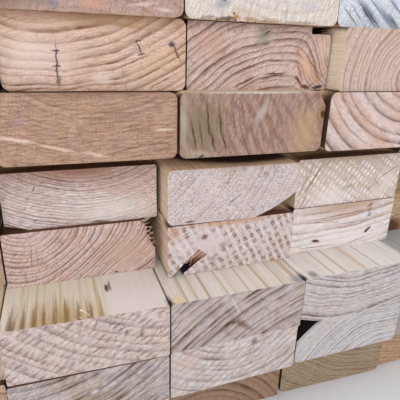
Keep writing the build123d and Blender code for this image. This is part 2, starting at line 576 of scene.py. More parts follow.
# %% Colour of the rings on an end
def ringed_end(tree, uvw, along, look, rings, seed):
    """Spring and summer wood, stronger in some places and years, with a tint in clouds."""
    patches = add_node(
        tree, "ShaderNodeTexNoise", {"Vector": along, "Scale": 0.06, "Detail": 3.0}
    )
    strength = add_node(
        tree,
        "ShaderNodeMapRange",
        {
            "Value": patches,
            "From Min": 0.36,
            "From Max": 0.62,
            "To Min": look.lines * (1 - look.patchy),
            "To Max": look.lines,
        },
    )
    each = add_node(
        tree, "ShaderNodeMapRange", {"Value": rings.luck, "To Min": 1.35, "To Max": 0.7}
    )
    strength = add_node(tree, "ShaderNodeMath", {0: strength, 1: each}, operation="MULTIPLY")
    lines = add_node(
        tree, "ShaderNodeMath", {0: rings.latewood, 1: strength}, operation="MULTIPLY"
    )
    end = tinted(tree, linear(look.early), look.late, lines)
    clouds = add_node(
        tree,
        "ShaderNodeTexNoise",
        {"Vector": uvw, "Scale": 0.035 + 0.004 * (seed % 5), "Detail": 3.0, "Roughness": 0.6},
    )
    share = add_node(
        tree,
        "ShaderNodeMapRange",
        {"Value": clouds, "From Min": 0.42, "From Max": 0.64, "To Max": look.tint_share},
    )
    return tinted(tree, end, look.tint, share)


print("a plain stud's summer wood is", plain.late)


# %% Light and shade
def shaded(tree, colour, pattern, amount):
    """The colour, made darker and lighter by a pattern."""
    shade = add_node(
        tree,
        "ShaderNodeMapRange",
        {
            "Value": pattern,
            "From Min": 0.36,
            "From Max": 0.64,
            "To Min": 1 - amount,
            "To Max": 1 + 0.7 * amount,
        },
    )
    return add_node(tree, "ShaderNodeVectorMath", {0: colour, 1: shade}, operation="MULTIPLY")


print("the fibres of a plain end shade it by", plain.grain)

# %% Saw marks and fibres on an end
ray_colour = "5E4036"
open_fibres = "5E4234"  # the shade in fibres that the saw has torn open
fibres_rise, summer_rises, saw_rises = 0.4, -0.3, -0.9  # each one's share of the bump


def sawn_end(tree, uvw, along, ragged, look, rings, seed):
    """The colour of an end, and the height of its fibres and saw lines for the bump."""
    end = ringed_end(tree, uvw, along, look, rings, seed)
    saw_height = None
    for marks in look.saws:
        lines = pattern_of_saw(tree, uvw, marks)
        end = tinted(tree, end, marks.colour, lines)
        saw_height = lines if saw_height is None else saw_height
    end = tinted(tree, end, ray_colour, rings.rays)
    warmth = add_node(
        tree,
        "ShaderNodeTexNoise",
        {"Vector": uvw, "Scale": 0.09, "Detail": 4.0, "Roughness": 0.7},
    )
    warmth = add_node(
        tree, "ShaderNodeMapRange", {"Value": warmth, "From Min": 0.38, "From Max": 0.62}
    )
    warmth = add_node(
        tree,
        "ShaderNodeMix",
        {"Factor": warmth, "A": (1.04, 1.0, 0.95, 1), "B": (0.98, 0.99, 1.04, 1)},
        data_type="RGBA",
    )
    end = add_node(tree, "ShaderNodeVectorMath", {0: end, 1: warmth}, operation="MULTIPLY")
    fibres = add_node(
        tree, "ShaderNodeTexNoise", {"Vector": uvw, "Scale": 1.7, "Detail": 3.0, "Roughness": 0.75}
    )
    turn, depth = look.streaks
    dragged = add_node(
        tree,
        "ShaderNodeMapping",
        {"Vector": uvw, "Rotation": (0, 0, radians(turn)), "Scale": (5.0, 0.8, 1.0)},
        vector_type="TEXTURE",
    )
    sawn = add_node(
        tree,
        "ShaderNodeTexNoise",
        {"Vector": dragged, "Scale": 0.9, "Detail": 3.0, "Roughness": 0.6},
    )
    ticks = add_node(
        tree, "ShaderNodeMapRange", {"Value": sawn, "From Min": 0.6, "From Max": 0.7, "To Max": 0.3}
    )
    end = tinted(tree, end, open_fibres, ticks)
    end = shaded(tree, end, fibres, look.grain)
    end = shaded(tree, end, sawn, 1.4 * depth)
    for mark in look.end_marks:
        end = marked(tree, end, ragged, mark)
    height = add_node(tree, "ShaderNodeMath", {0: fibres, 1: fibres_rise}, operation="MULTIPLY")
    height = add_node(
        tree,
        "ShaderNodeMath",
        {0: rings.latewood, 1: summer_rises, 2: height},
        operation="MULTIPLY_ADD",
    )
    if saw_height is not None:
        height = add_node(
            tree,
            "ShaderNodeMath",
            {0: saw_height, 1: saw_rises, 2: height},
            operation="MULTIPLY_ADD",
        )
    return end, height


print("the saw drags fibres", plain.streaks[0], "degrees from level on a plain stud")

# %% [markdown]
# ## The planed faces
# A planer cuts the fibres clean, so a face is pale and silky, with the rings as stripes. Knots show
# here, with a dark rim of bark. The shade in the dark joints between studs is painted on the faces.


# %% Knots on a face
def knotted(tree, face, knot_reach):
    """The face with its knots, each with a rim of bark."""
    knot = add_node(
        tree,
        "ShaderNodeMapRange",
        {
            "Value": knot_reach,
            "From Min": knot_radius + 1,
            "From Max": knot_radius - 1,
            "To Max": 0.85,
        },
    )
    face = tinted(tree, face, knot_colour, knot)
    core = add_node(
        tree,
        "ShaderNodeMapRange",
        {"Value": knot_reach, "From Min": knot_radius + 2.5, "From Max": knot_radius + 0.6},
        interpolation_type="SMOOTHSTEP",
    )
    bark = add_node(
        tree,
        "ShaderNodeMapRange",
        {
            "Value": knot_reach,
            "From Min": knot_radius - 0.8,
            "From Max": knot_radius + 0.6,
            "To Max": 0.7,
        },
    )
    rim = add_node(tree, "ShaderNodeMath", {0: core, 1: bark}, operation="MULTIPLY")
    return tinted(tree, face, bark_colour, rim)


print("a knot is up to", 2 * knot_radius, "mm wide on the upper face, in a rim of bark")

# %% Painted shade in the joints
top_layer, last_place = "8", "5"
# The dark browns of the shade painted into the joints above and beside an end.
shade_colour_above, shade_colour_beside = "4A220F", "3A190C"


def painted_joint_shade(stud, look):
    """Painted shade in the joints above and beside a stud's end, where it has a neighbour."""
    _, layer, place = stud.split("_")
    top = look.top_dirt * (layer != top_layer)
    left, right = look.side_dirt * (place != "1"), look.side_dirt * (place != last_place)
    painted_shades = (
        Mark((45, 38, 0), (90, 7, 24), 0, shade_colour_above, top, 0.4),
        Mark((-3, 18, 0), (7, 40, 16), 0, shade_colour_beside, left, 0.4),
        Mark((93, 18, 0), (7, 40, 16), 0, shade_colour_beside, right, 0.4),
    )
    return [stain for stain in painted_shades if stain.strength]


print("stains in the joints of stud_1_1:", len(painted_joint_shade("stud_1_1", plain)))

# %% Colour of the planed faces
long_mark, narrow_mark = 20, 50  # half the length and half the width, in millimetres


def planed_face(tree, stud, uvw, along, ragged, look, rings):
    """The colour of the long faces, and their silky streaks for the bump."""
    drawn_out = add_node(tree, "ShaderNodeMapping", {"Vector": uvw, "Scale": (1, 1, 0.02)})
    streaks = add_node(
        tree,
        "ShaderNodeTexNoise",
        {"Vector": drawn_out, "Scale": 0.8, "Detail": 4.0, "Roughness": 0.75},
    )
    lines = add_node(
        tree, "ShaderNodeMath", {0: rings.latewood, 1: look.face_lines}, operation="MULTIPLY"
    )
    face = tinted(tree, linear(look.face_early), look.face_late, lines)
    silk = add_node(
        tree,
        "ShaderNodeMapRange",
        {"Value": streaks, "From Min": 0.3, "From Max": 0.7, "To Min": 0.84, "To Max": 1.12},
    )
    face = add_node(tree, "ShaderNodeVectorMath", {0: face, 1: silk}, operation="MULTIPLY")
    face = knotted(tree, face, rings.knot_reach)
    # The ends of a long, narrow mark fray along the fibres. Other marks have a ragged edge.
    fringe = add_node(
        tree,
        "ShaderNodeTexNoise",
        {"Vector": along, "Scale": 0.7, "Detail": 4.0, "Roughness": 0.8},
    )
    frayed = shaken(tree, uvw, fringe, (0.9, 0.9, 30))
    for mark in look.face_marks:
        half_width, _, half_length = mark.size
        edge = frayed if half_length > long_mark and half_width < narrow_mark else ragged
        face = marked(tree, face, edge, mark)
    # Shade painted into the joints where a neighbour lies above or beside.
    for stain in painted_joint_shade(stud, look):
        face = marked(tree, face, ragged, stain)
    return face, streaks


print("a plain stud's face is", plain.face_early, "with stripes of", plain.face_late)

# %% Sawn and planed pine
face_roughness, end_roughness = 0.62, 0.9


def pine(stud, look, seed):
    """Pine: planed on its long faces, which are pale, silky and striped, and sawn at its ends,
    which are duller, brown-pink, rough and marked by the saw."""
    material, tree = new_material(f"pine_{stud}")
    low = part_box(stud)[0]
    place = add_node(tree, "ShaderNodeTexCoord")
    uvw = add_node(
        tree,
        "ShaderNodeMapping",
        {
            "Vector": place.outputs["Object"],
            "Location": (-low.x / mm, -low.z / mm, -low.y / mm),
            "Rotation": (radians(-90), 0, 0),
            "Scale": (1000, -1000, 1000),
        },
    )
    along = add_node(
        tree,
        "ShaderNodeMapping",
        {"Vector": uvw, "Location": (seed * 13.0, seed * 29.0, 0), "Scale": (1, 1, 0.05)},
    )
    rough_edge = add_node(
        tree, "ShaderNodeTexNoise", {"Vector": uvw, "Scale": 0.35, "Detail": 3.0, "Roughness": 0.6}
    )
    ragged = shaken(tree, uvw, rough_edge, (1.1, 1.1, 1.1))
    rings = growth_rings(tree, uvw, along, look, seed)
    end, end_height = sawn_end(tree, uvw, along, ragged, look, rings, seed)
    face, face_height = planed_face(tree, stud, uvw, along, ragged, look, rings)

    points = add_node(tree, "ShaderNodeSeparateXYZ", {"Vector": place.outputs["Normal"]})
    lengthwise = add_node(
        tree, "ShaderNodeMath", {0: points.outputs["Y"]}, operation="ABSOLUTE"
    )
    is_end = add_node(
        tree, "ShaderNodeMapRange", {"Value": lengthwise, "From Min": 0.5, "From Max": 0.8}
    )
    colour = add_node(
        tree, "ShaderNodeMix", {"Factor": is_end, "A": face, "B": end}, data_type="RGBA"
    )
    rough = add_node(
        tree,
        "ShaderNodeMapRange",
        {"Value": is_end, "To Min": face_roughness, "To Max": end_roughness},
    )
    height = add_node(
        tree,
        "ShaderNodeMix",
        {"Factor": is_end, "A": face_height, "B": end_height},
        data_type="FLOAT",
    )
    relief = add_node(
        tree, "ShaderNodeBump", {"Height": height, "Strength": 0.55, "Distance": 0.5 * mm}
    )
    wood = add_node(
        tree,
        "ShaderNodeBsdfPrincipled",
        {"Base Color": colour, "Roughness": rough, "Specular IOR Level": 0.3, "Normal": relief},
    )
    add_node(tree, "ShaderNodeOutputMaterial", {"Surface": wood})
    dress([stud], material)


print("a stud's material has rings, saw lines, stains, fibres and knots")

# %% [markdown]
# ## Forty looks
# Each stud that the photograph shows gets its own values, read one by one: where its pith lies, how
# wide its rings are, the colours of spring wood and summer wood, and its marks. The hidden studs
# take turns with a few plain looks.

# %% Looks of layer 8, at the top
looks = {
    "stud_8_2": plain._replace(
        pith=(40, -60), spacing=3.5, early="BC9C8E", late="8E6A5A", lines=0.5, tint="B0A098",
        end_marks=(
            end_mark(8, 4, 22, 7, 0, "86705A", 0.8, 1.0),
            end_mark(24, 3, 6, 3, 0, "8A7E70", 0.6, 0.9),
            end_mark(29.5, 3, 4, 2.6, 0, "7A7A84", 0.75, 0.9),
            end_mark(46, 4, 9, 5, 10, "CC9A84", 0.7, 1.0),
            end_mark(70, 5, 12, 1.2, 8, "DCC4BC", 0.7, 0.9),
            end_mark(80, 3, 8, 1.4, -4, "DCC8C0", 0.7, 0.9),
        ),
    ),
    "stud_8_3": plain._replace(
        pith=(60, 90), spacing=6, early="DFD5CC", late="BFA994", lines=0.4, tint="D9CFC6",
        end_marks=(
            end_mark(20, 8, 6, 4, 20, "97999C", 0.75, 0.8),
            end_mark(34, 4, 14, 4, -8, "C6AE98", 0.6, 1.0),
            end_mark(70, 9, 9, 4, 0, "C2BFC0", 0.6, 1.0),
            end_mark(46, 0.2, 10, 1.3, 0, "7A5A44", 0.7, 0.7),
            end_mark(20.5, 9.5, 1.6, 1.0, 0, "4A4A52", 0.9, 0.6),
            end_mark(12, 0.8, 7, 1.4, 5, "8E6E50", 0.7, 0.8),
            end_mark(22, 0.6, 9, 1.6, 8, "5A3A24", 0.85, 0.6),
            end_mark(28, 2.0, 3.4, 1.6, -10, "B07E3C", 0.85, 0.8),
            end_mark(26.6, 3.4, 1.2, 0.9, 0, "3A2414", 0.85, 0.7),
            end_mark(36, 1.0, 7, 1.6, -4, "A07A50", 0.75, 0.8),
            end_mark(48, 1.4, 9, 1.4, -6, "B8946A", 0.65, 0.8),
            end_mark(66, 0.6, 16, 1.4, 0, "9A8270", 0.7, 0.7),
        ),
    ),
    "stud_8_4": plain._replace(
        pith=(60, 120), spacing=4, early="DBE1E9", late="A9AFB9", lines=0.3, tint="DAD8D4",
        grain=0.5,
        end_marks=(
            end_mark(21, 7.5, 17, 3.8, -40, "6A7686", 0.8, 0.8),
            end_mark(35, 5.5, 15, 3.0, -38, "6A7686", 0.8, 0.8),
            end_mark(19.5, 7.5, 13, 0.9, -42, "3E444E", 0.85, 0.8),
            end_mark(24, 5.5, 12, 0.8, -38, "3E444E", 0.85, 0.8),
            end_mark(9, 5.0, 12, 0.8, -42, "7A6A62", 0.8, 0.8),
            end_mark(13, 7.0, 11, 0.7, -44, "7A6A62", 0.7, 0.8),
            end_mark(40, 4.0, 9, 1.6, -40, "4A5468", 0.8, 0.9),
            end_mark(25, 12, 12, 1.0, -40, "5A6480", 0.7, 0.8),
            end_mark(40, 12, 12, 1.4, -38, "5A6480", 0.7, 0.8),
        ),
    ),
}
print(len(looks), "looks so far")

# %% Looks of layer 7
looks |= {
    "stud_7_2": plain._replace(
        pith=(24, 112), spacing=4.2, early="DEC0AC", late="764A30", lines=1.0, patchy=0.7,
        wobble=1.3, tint="CFA488", tint_share=0.5, streaks=(12, 0.16),
        bends=(Mark((27, 16, 0), (36, 40, 60), 0, "", -2.6, 1.0),),
        end_marks=(
            end_mark(16, 17, 30, 15, 0, "E6D2C6", 0.7, 1.0),
            end_mark(72, 12, 24, 9, 28, "D9B48A", 0.35, 1.0),
            end_mark(70, 8.5, 13, 0.6, 24, "5E3C2C", 0.8, 0.7),
            end_mark(77, 4.5, 11, 0.5, 26, "5E3C2C", 0.8, 0.7),
            end_mark(64, 15, 12, 0.5, 21, "6E4A36", 0.7, 0.7),
            end_mark(82.5, 23, 3.6, 2.4, -30, "7A5A62", 0.6, 0.9),
            end_mark(46, 6, 8, 5, 0, "E6D6CC", 0.6, 0.9),
            # Painted shadow across the top of the end, where the stud above stands out over it.
            end_mark(45, 36, 60, 9, 0, "B28C6C", 0.9, 1.0),
            end_mark(22, 30, 20, 3, 8, "D8BCA6", 0.6, 1.0),
            end_mark(58, 31, 26, 1.6, -6, "A87E5E", 0.6, 1.0),
            end_mark(25.5, 13.5, 13, 0.7, 88, "4A3440", 0.85, 0.7),
            end_mark(25.3, 18.8, 2.6, 0.6, 0, "3E2C3A", 0.9, 0.5),
            end_mark(25.3, 11.5, 2.6, 0.6, 0, "3E2C3A", 0.9, 0.5),
            end_mark(25.8, 5.0, 1.6, 3.2, 0, "5A4250", 0.7, 0.8),
            end_mark(65.5, 21, 4.2, 0.6, -66, "4A3440", 0.85, 0.6),
            end_mark(65.0, 24, 2.6, 0.7, 15, "4A3440", 0.8, 0.6),
            end_mark(66.5, 17.8, 2.8, 0.8, 15, "4A3440", 0.8, 0.6),
            end_mark(84.8, 19.5, 8.0, 0.7, -64, "4A3440", 0.8, 0.7),
            end_mark(82.5, 23, 2.0, 1.5, 0, "4A3440", 0.85, 0.8),
        ),
    ),
    "stud_7_3": plain._replace(
        pith=(62, -55), spacing=3.6, early="D5BEB4", late="6A463C", lines=0.95, patchy=0.6,
        wobble=2.6, tint="BC9584", tint_share=0.5, streaks=(38, 0.18),
        bends=(
            Mark((102, 10, 0), (36, 44, 40), 0, "", 8.0, 1.0),
            Mark((78, 6, 0), (12, 12, 40), 0, "", 1.4, 1.0),
        ),
        end_marks=(
            end_mark(45, 29, 6.5, 9, 0, "7F8270", 0.7, 0.9),
            end_mark(14, 24, 14, 12, 30, "C59A82", 0.5, 1.0),
            end_mark(86, 24, 8, 10, 0, "D8BFA8", 0.6, 0.9),
            end_mark(47.5, 31, 3.2, 0.9, 25, "424B46", 0.85, 0.6),
            end_mark(46.5, 25, 3.0, 0.8, 20, "4C5650", 0.75, 0.6),
            end_mark(35, 4.6, 10.5, 0.8, 24, "553528", 0.9, 0.6),
            end_mark(54, 9.1, 10, 0.7, 3, "553528", 0.9, 0.6),
            end_mark(76, 11.5, 12, 5.4, -54, "CFA587", 0.75, 0.7),
            end_mark(75, 13, 8, 2.2, -56, "DFBF9E", 0.65, 0.9),
            end_mark(70.6, 10, 10, 0.9, -64, "A8643C", 0.8, 0.7),
            end_mark(80.5, 13, 10, 0.8, -46, "7E4C34", 0.85, 0.7),
            end_mark(70.5, 5.4, 5.5, 1.2, -50, "6A3424", 0.9, 0.6),
            end_mark(75.5, 1.6, 5.0, 1.6, -12, "5A2C1C", 0.9, 0.6),
            end_mark(68, 21, 1.8, 3.0, 40, "B8703C", 0.75, 0.8),
            end_mark(84, 5.8, 2.0, 2.4, 20, "C88A54", 0.7, 0.8),
            end_mark(84.5, 1.6, 5.0, 1.3, 8, "2E2A2C", 0.92, 0.5),
            end_mark(88, 26, 3.0, 3.0, 0, "BC9068", 0.5, 0.9),
        ),
    ),
    "stud_7_4": plain._replace(
        pith=(52, 7), spacing=2.8, early="D2BCAF", late="987463", lines=0.85, patchy=0.5,
        tint="C8AE9E", streaks=(80, 0.15), face_early="FAEBD2", face_late="DCC294",
        face_lines=0.3, side_dirt=0.0,
        # Near-black painted shade in the joint at the upper left, from 8 mm behind the end.
        face_marks=(Mark((-2, 40, 98), (12, 18, 90), 0, "140A06", 0.98, 0.1),),
    ),
}
print(len(looks), "looks so far")

# %% Looks of layer 6
looks |= {
    "stud_6_2": plain._replace(
        pith=(50, 95), spacing=3, early="BB9A84", late="8F6C55", lines=0.6, patchy=0.7,
        tint="AF8C76", grain=0.26, streaks=(4, 0.2),
        saws=(saw(1, 2.3, "8E6A54", 0.35, 0.4), saw(88, 1.7, "8E6A54", 0.18, 0.4)),
        end_marks=(
            end_mark(45, 35, 52, 3.5, 0, "80604A", 0.6, 0.9),
            end_mark(10, 13.2, 12, 1.3, -12, "E4CCBA", 0.85, 0.8),
            end_mark(28, 8.2, 14, 1.2, -14, "DEC2AE", 0.8, 0.8),
            end_mark(47, 4.0, 9, 1.3, -12, "DEC4B2", 0.75, 0.8),
            end_mark(10, 10.6, 13, 0.7, -14, "8A6650", 0.6, 0.8),
            end_mark(83, 16.0, 8, 1.1, 2, "DCC4AE", 0.8, 0.8),
            end_mark(66, 7.0, 11, 0.7, 13, "7E5C46", 0.75, 0.8),
            end_mark(79, 8.6, 10, 0.6, 6, "6E4C38", 0.8, 0.8),
            end_mark(84, 5.5, 7, 1.4, 0, "7E5E48", 0.6, 0.9),
            end_mark(56, 4.5, 9, 0.6, 12, "7E5C46", 0.7, 0.8),
            end_mark(12, 22, 5, 4, 0, "A89094", 0.5, 0.9),
        ),
    ),
    "stud_6_3": plain._replace(
        pith=(88.8, 22.4), spacing=3.4, early="B09483", late="7C5E4C", lines=0.75, patchy=0.7,
        tint="A9897E", tint_share=0.6, streaks=(72, 0.2),
        end_marks=(
            end_mark(12, 17, 22, 24, 0, "85745A", 0.8, 0.9),
            end_mark(78, 12, 16, 24, 0, "BC9C76", 0.7, 1.0),
            end_mark(2, 20, 3.0, 22, 0, "B8AC9C", 0.6, 0.9),
            end_mark(48, 24, 4.0, 11, -28, "BDB4AC", 0.6, 0.9),
            end_mark(40, 12, 2.5, 12, -24, "8A5E50", 0.6, 0.9),
            end_mark(56, 11, 2.5, 13, -24, "8E6454", 0.55, 0.9),
            end_mark(8, 12, 13, 0.9, 102, "3E3224", 0.85, 0.8),
            end_mark(12, 13, 13, 0.7, 100, "4A3C2C", 0.8, 0.8),
            end_mark(16, 20, 14, 0.9, 97, "3E3224", 0.85, 0.8),
            end_mark(19, 9, 9, 1.0, 104, "3E3224", 0.85, 0.8),
            end_mark(23, 20, 13, 0.9, 96, "4A3C2C", 0.8, 0.8),
            end_mark(26, 8, 9, 0.9, 106, "463828", 0.85, 0.8),
            end_mark(31, 21, 11, 0.8, 100, "5A4634", 0.7, 0.8),
            end_mark(36, 26, 8, 1.0, 104, "6A4636", 0.7, 0.8),
            end_mark(88.8, 22.4, 5.6, 6.2, 0, "8A6248", 0.6, 0.3),
            end_mark(88.8, 22.4, 4.2, 4.8, 0, "A88264", 0.8, 0.4),
            end_mark(88.8, 22.4, 2.2, 3.4, 0, "4E2C1C", 0.95, 0.6),
            end_mark(45, 35.6, 50, 1.6, 0, "DAD2CC", 0.75, 0.8),
            end_mark(12, 2.2, 13, 3.2, -6, "B9AE9E", 0.45, 0.9),
            end_mark(12.5, 0.6, 2.4, 1.0, 30, "2E1C12", 0.9, 0.6),
        ),
        saws=(saw(-56, 6.5, "8A6458", 0.6, 0.6),),
        top_dirt=0.2,
    ),
    "stud_6_4": plain._replace(
        pith=(62, 66), spacing=7.0, early="D8C2BA", late="5E382C", lines=1.0, patchy=0.35,
        wobble=1.0, tint="CFA48A", tint_share=0.7, streaks=(-30, 0.14),
        saws=(saw(-40, 16.0, "EADFDD", 0.35, 0.5),),
    ),
}
print(len(looks), "looks so far")

# %% Looks of layer 5
looks |= {
    "stud_5_2": plain._replace(
        pith=(48, 100), spacing=1.9, early="E4D4D0", late="6E4C40", lines=0.85, rays=0.5,
        tint="C4A090", tint_share=0.5, streaks=(-5, 0.22),
        end_marks=(
            # Painted shadow over the upper part of the end, which lies back under the layer above.
            end_mark(40, 35, 60, 13, -3, "9C6E54", 0.8, 1.0),
            end_mark(68, 22, 24, 9, -4, "C4A592", 0.5, 1.0),
            end_mark(62, 8, 44, 14, 0, "DDD3CC", 0.65, 1.0),
            end_mark(18, 25, 3, 0.5, 70, "5E4034", 0.9, 0.6),
            end_mark(20, 22.4, 4, 0.4, 0, "6A4A3C", 0.8, 0.6),
            end_mark(54, 0.6, 8, 1.2, 0, "6A5040", 0.8, 0.6),
        ),
    ),
    "stud_5_3": plain._replace(
        pith=(-60, 90), spacing=3.5, early="D6CAC7", late="A08C84", lines=0.6, patchy=0.7,
        tint="C8B2AC", grain=0.5, streaks=(20, 0.1), rays=0.5,
        end_marks=(
            end_mark(43, 13.8, 7.2, 1.0, 33, "7E7080", 0.8, 0.8),
            end_mark(14, 1.5, 4, 0.9, 5, "5E3C2C", 0.9, 0.6),
            end_mark(45, 36, 50, 3, 0, "B59A84", 0.6, 0.9),
        ),
        side_dirt=0.0,
        face_early="F6DEC6", face_late="D0AA84", top_dirt=0.0,
        # Painted shadow on the top face a little behind the end, under the layer above.
        face_marks=(Mark((60, 37, 48), (64, 9, 46), 0, "34160A", 0.97, 0.22),),
    ),
    "stud_5_4": plain._replace(
        pith=(50, -5), spacing=5.0, early="CBBAB0", late="8E7662", lines=0.5, patchy=0.8,
        tint="CDB8B0", grain=0.24, streaks=(52, 0.1), rays=0.0,
        saws=(saw(58, 3.5, "F6EEE9", 0.85, 0.8, (-35, 5.4, 1.0)),),
        side_dirt=0.0,
        end_marks=(
            end_mark(72, 6, 22, 9, 30, "DCC8C0", 0.8, 1.0),
            end_mark(30, 6, 26, 13, 0, "E2D9D4", 0.75, 1.0),
            end_mark(45, 35, 60, 5, 0, "B0967A", 0.7, 0.9),
            end_mark(9, 24, 13, 0.6, 62, "7E5E48", 0.9, 0.6),
            end_mark(14, 22, 15, 0.7, 60, "7E5E48", 0.85, 0.6),
            end_mark(4, 12, 11, 0.5, 78, "8A6A54", 0.8, 0.6),
            end_mark(8.5, 10, 10, 0.5, 76, "8A6A54", 0.7, 0.6),
            end_mark(80, 17, 12, 13, 0, "DACAC6", 0.75, 0.9),
            end_mark(79, 21, 11, 0.9, 30, "8E6A60", 0.85, 0.8),
            end_mark(70, 14, 9, 0.8, -40, "A07E76", 0.75, 0.8),
            end_mark(65, 10, 6, 0.7, 35, "8E6A60", 0.75, 0.8),
        ),
    ),
}
print(len(looks), "looks so far")

# %% Looks of layer 4
looks |= {
    "stud_4_2": plain._replace(
        pith=(12, 46), spacing=2.7, early="D8C2BA", late="744A40", lines=0.95,
        patchy=0.45, tint="C49A86", streaks=(40, 0.2), rays=0.7,
        bends=(Mark((62, -8, 0), (50, 45, 4000), 0, "", 5.5, 1.0),),
        # Near-black painted shade in the gap at the upper right side, behind the torn edge.
        face_marks=(Mark((90, 26, 0), (10, 16, 60), 0, "2E140E", 0.95, 0.4),),
        end_marks=(
            end_mark(72, 16, 26, 18, 0, "C2A48C", 0.6, 0.9),
            end_mark(15, 20, 13, 0.4, 86, "6E4438", 0.6, 0.7),
            end_mark(18, 20, 11, 0.4, 87, "6E4438", 0.5, 0.7),
            end_mark(50, 22, 9, 0.5, -75, "6E4438", 0.5, 0.7),
            end_mark(64.5, 1.4, 1.6, 0.9, 0, "3E241C", 0.9, 0.6),
            end_mark(86, 26, 5, 12, 8, "8C5F44", 0.6, 0.9),
        ),
    ),
    "stud_4_3": plain._replace(
        pith=(20, 120), spacing=6, early="DACDCB", late="BBA69C", lines=0.3,
        tint="C4AFA8", streaks=(-64, 0.14), rays=0.0,
        saws=(
            saw(-62, 5.4, "7A5A4E", 0.9, 0.7, (24, 5.6, 0.75)),
            saw(-62, 5.4, "A08478", 0.5, 0.7),
            saw(24, 2.4, "F4ECEA", 0.35, 0.25),
        ),
        end_marks=(
            end_mark(45, 34, 50, 3.5, 0, "C09674", 0.75, 0.9),
            end_mark(40, 35.6, 50, 1.4, 0, "A86E44", 0.75, 0.8),
            end_mark(4, 31, 6, 6, 0, "B98862", 0.7, 0.9),
            end_mark(9, 20, 9, 9, 0, "DDD2D2", 0.6, 0.9),
            end_mark(23.8, 26, 3.6, 2.6, 0, "5E3426", 0.9, 0.8),
            end_mark(26, 20, 17, 16, 0, "D3C3C2", 0.85, 0.8),
            end_mark(24.5, 25.5, 3.6, 2.4, 20, "6E4238", 0.85, 0.8),
            end_mark(38, 17, 3.0, 5, -25, "9A7C7C", 0.7, 0.9),
            end_mark(31, 9, 2.6, 4, -20, "9A7E7C", 0.7, 0.9),
        ),
        side_dirt=0.0, face_early="F6DAC0", face_late="CFA47C",
        face_marks=(
            # The first mark is torn reddish-brown wood in the split; the second is painted shadow
            # deep in it.
            Mark((19, 10, 0), (13, 9, 90), 40, "8A4E3C", 0.95, 0.4),
            Mark((9, 4, 0), (13, 8, 90), 40, "1A1020", 0.98, 0.4),
        ),
    ),
    "stud_4_4": plain._replace(
        pith=(20, 330), spacing=6, early="E8E0DE", late="A88670", lines=0.9,
        tint="ECE4E2", streaks=(0, 0.12), wobble=2.6,
        end_marks=(
            end_mark(45, 36, 60, 15, 0, "B3947A", 0.85, 0.9),
            end_mark(48, 7, 60, 13, 0, "E6DEDB", 0.65, 0.9),
            end_mark(45, 27, 40, 0.7, 4, "7A5640", 0.8, 0.8),
            end_mark(26, 22.5, 24, 0.7, -3, "8A664C", 0.75, 0.8),
            end_mark(52, 19.5, 18, 0.6, 3, "94705A", 0.7, 0.8),
            end_mark(20, 30, 20, 0.5, 3, "8A664C", 0.7, 0.8),
            end_mark(24, 3.2, 22, 0.5, -2, "7E5A44", 0.8, 0.7),
            end_mark(62, 4.2, 18, 0.5, 12, "7E5A44", 0.8, 0.7),
            end_mark(22, 8.1, 5.6, 2.4, -8, "C79A86", 0.7, 0.9),
            end_mark(22, 8.1, 3.8, 1.3, -8, "4A2012", 0.97, 0.4),
            end_mark(69, 11.3, 4.4, 1.5, 38, "4A2012", 0.97, 0.4),
            end_mark(67.6, 32, 4, 1.6, 20, "6A4430", 0.85, 0.7),
            end_mark(68.3, 23.8, 3.4, 1.4, 35, "6A4430", 0.8, 0.8),
            end_mark(68, 28, 1.6, 6, -10, "8A6248", 0.6, 0.9),
        ),
    ),
}
print(len(looks), "looks so far")

